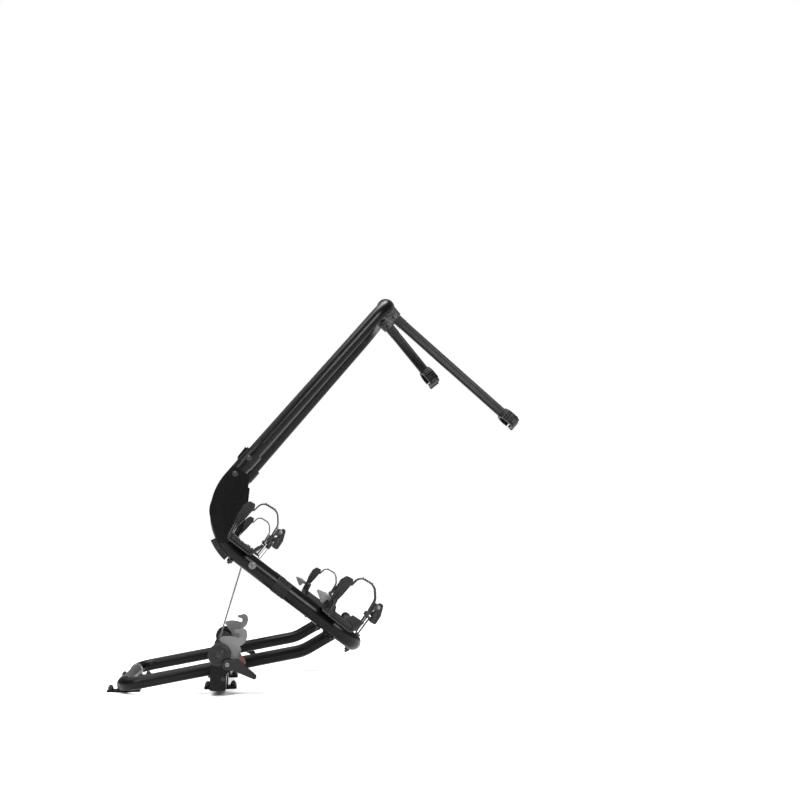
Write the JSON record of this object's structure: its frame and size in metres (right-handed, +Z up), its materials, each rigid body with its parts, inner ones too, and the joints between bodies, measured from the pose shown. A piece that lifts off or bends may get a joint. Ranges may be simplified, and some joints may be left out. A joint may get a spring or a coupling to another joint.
{
  "type": "caravan drawbar bike rack",
  "caption": "Tilting bicycle rack for a caravan drawbar: tube base, hinged platform with mast, wheel rails, straps, arms and a rope winch with latch.",
  "frame": {"origin": "centre of the footprint box at the height of the feet's undersides, rack tilted forward", "axes": "+X towards the car, +Y to the left along the rails, +Z up"},
  "size_m": [1.11, 1.28, 1.0622],
  "materials": {
    "black_paint": "satin black powder coat",
    "black_plastic": "moulded, fine grain",
    "strap_plastic": "flexible moulded strap",
    "rail_paint": "satin black anodised channel",
    "black_bolt": "black zinc plate",
    "zinc_plate": "matt zinc plate",
    "bright_steel": "bright zinc fastener",
    "grey_tube": "galvanised tube",
    "spring_steel": "spring wire",
    "rope_steel": "stranded steel rope",
    "red_plastic": "moulded"
  },
  "bodies": {
    "base": {"base_tube_right": "black_paint", "base_tube_left": "black_paint", "width_tube": "grey_tube", "width_collars": "bright_steel", "rear_feet": "black_paint", "centre_feet": "black_paint", "base_bolts": "black_bolt", "crossbeam": "black_paint", "tube_saddles": "black_paint", "winch_brackets": "black_paint", "winch_cover_right": "black_plastic", "winch_cover_left": "black_plastic", "hinge_lugs": "black_paint", "hinge_pins": "black_bolt", "latch_spring": "spring_steel", "return_spring": "spring_steel", "winch_rope": "rope_steel"},
    "winch": {"winch_shaft": "bright_steel", "rope_drum": "black_bolt", "rope_windings": "rope_steel", "spring_sleeve": "black_bolt", "shaft_collars": "black_bolt"},
    "latch": {"latch_shaft": "bright_steel", "hook_plate_right": "zinc_plate", "hook_plate_left": "zinc_plate", "lever_right": "black_plastic", "lever_left": "black_plastic", "lever_screws": "bright_steel"},
    "lock_tab_right": {"lock_tab_right": "red_plastic"},
    "lock_tab_left": {"lock_tab_left": "red_plastic"},
    "platform": {"platform_loop": "black_paint", "mast_arch": "black_paint", "mast_collars": "black_paint", "frame_screws": "black_bolt", "gussets": "black_paint", "bend_bumpers": "black_plastic", "latch_bolts": "bright_steel", "rope_anchor": "zinc_plate", "rail_rear": "rail_paint", "rail_front": "rail_paint", "rail_bolts": "black_bolt", "hinge_brackets": "black_paint"},
    "holder_rear_right": {"wheel_cup_rear_right": "black_plastic", "wheel_strap_rear_right": "strap_plastic"},
    "buckle_rear_right": {"buckle_rear_right": "black_plastic"},
    "holder_rear_left": {"wheel_cup_rear_left": "black_plastic", "wheel_strap_rear_left": "strap_plastic"},
    "buckle_rear_left": {"buckle_rear_left": "black_plastic"},
    "holder_front_right": {"wheel_cup_front_right": "black_plastic", "wheel_strap_front_right": "strap_plastic"},
    "buckle_front_right": {"buckle_front_right": "black_plastic"},
    "holder_front_left": {"wheel_cup_front_left": "black_plastic", "wheel_strap_front_left": "strap_plastic"},
    "buckle_front_left": {"buckle_front_left": "black_plastic"},
    "arm_long": {"arm_clamp_long": "black_plastic", "arm_long": "black_paint"},
    "claw_jaw_long": {"claw_jaw_long": "black_plastic"},
    "arm_short": {"arm_clamp_short": "black_plastic", "arm_short": "black_paint"},
    "claw_jaw_short": {"claw_jaw_short": "black_plastic"}
  },
  "joints": [
    {"name": "platform_tilt", "type": "hinge", "parent": "base", "child": "platform", "pos_m": [0.04975, 0, 0.1877], "axis": [0, -1, 0], "range_deg": [0, 37], "deforming": ["winch_rope"]},
    {"name": "winch_spin", "type": "hinge", "parent": "base", "child": "winch", "pos_m": [-0.26925, 0, 0.1016], "axis": [0, -1, 0], "range_deg": [0, 920.5]},
    {"name": "latch_release", "type": "hinge", "parent": "base", "child": "latch", "pos_m": [-0.24955, 0, 0.0785], "axis": [0, 1, 0], "range_deg": [0, 20], "stiffness_Nm_per_rad": 0.6, "springref_deg": -40.11},
    {"name": "lock_tab_right_slide", "type": "slide", "parent": "latch", "child": "lock_tab_right", "axis": [0.753, 0, -0.658], "range_m": [0, 0.008]},
    {"name": "lock_tab_left_slide", "type": "slide", "parent": "latch", "child": "lock_tab_left", "axis": [0.753, 0, -0.658], "range_m": [0, 0.008]},
    {"name": "wheel_holder_rear_right_slide", "type": "slide", "parent": "platform", "child": "holder_rear_right", "axis": [0, 1, 0], "range_m": [0, 0.1]},
    {"name": "buckle_rear_right_open", "type": "hinge", "parent": "holder_rear_right", "child": "buckle_rear_right", "pos_m": [-0.13057, -0.566, 0.39871], "axis": [0, -1, 0], "range_deg": [0, 45]},
    {"name": "wheel_holder_rear_left_slide", "type": "slide", "parent": "platform", "child": "holder_rear_left", "axis": [0, -1, 0], "range_m": [0, 0.1]},
    {"name": "buckle_rear_left_open", "type": "hinge", "parent": "holder_rear_left", "child": "buckle_rear_left", "pos_m": [-0.13057, 0.566, 0.39871], "axis": [0, -1, 0], "range_deg": [0, 45]},
    {"name": "wheel_holder_front_right_slide", "type": "slide", "parent": "platform", "child": "holder_front_right", "axis": [0, 1, 0], "range_m": [0, 0.1]},
    {"name": "buckle_front_right_open", "type": "hinge", "parent": "holder_front_right", "child": "buckle_front_right", "pos_m": [0.09385, -0.566, 0.2296], "axis": [0, -1, 0], "range_deg": [0, 45]},
    {"name": "wheel_holder_front_left_slide", "type": "slide", "parent": "platform", "child": "holder_front_left", "axis": [0, -1, 0], "range_m": [0, 0.1]},
    {"name": "buckle_front_left_open", "type": "hinge", "parent": "holder_front_left", "child": "buckle_front_left", "pos_m": [0.09385, 0.566, 0.2296], "axis": [0, -1, 0], "range_deg": [0, 45]},
    {"name": "arm_long_swing", "type": "hinge", "parent": "platform", "child": "arm_long", "pos_m": [0.16696, 0, 1.03723], "axis": [0, 1, 0], "range_deg": [-40, 40]},
    {"name": "claw_long_open", "type": "hinge", "parent": "arm_long", "child": "claw_jaw_long", "pos_m": [0.53, -0.12475, 0.72164], "axis": [-0.6561, 0, -0.7547], "range_deg": [0, 70]},
    {"name": "arm_short_swing", "type": "hinge", "parent": "platform", "child": "arm_short", "pos_m": [0.16696, 0, 1.03723], "axis": [0, 1, 0], "range_deg": [-40, 40]},
    {"name": "claw_short_open", "type": "hinge", "parent": "arm_short", "child": "claw_jaw_short", "pos_m": [0.31901, -0.02075, 0.85278], "axis": [-0.7716, 0, -0.6361], "range_deg": [0, 70]}
  ],
  "couplings": [
    {"joint": "winch_spin", "follows": "platform_tilt", "ratio": 24.825}
  ]
}
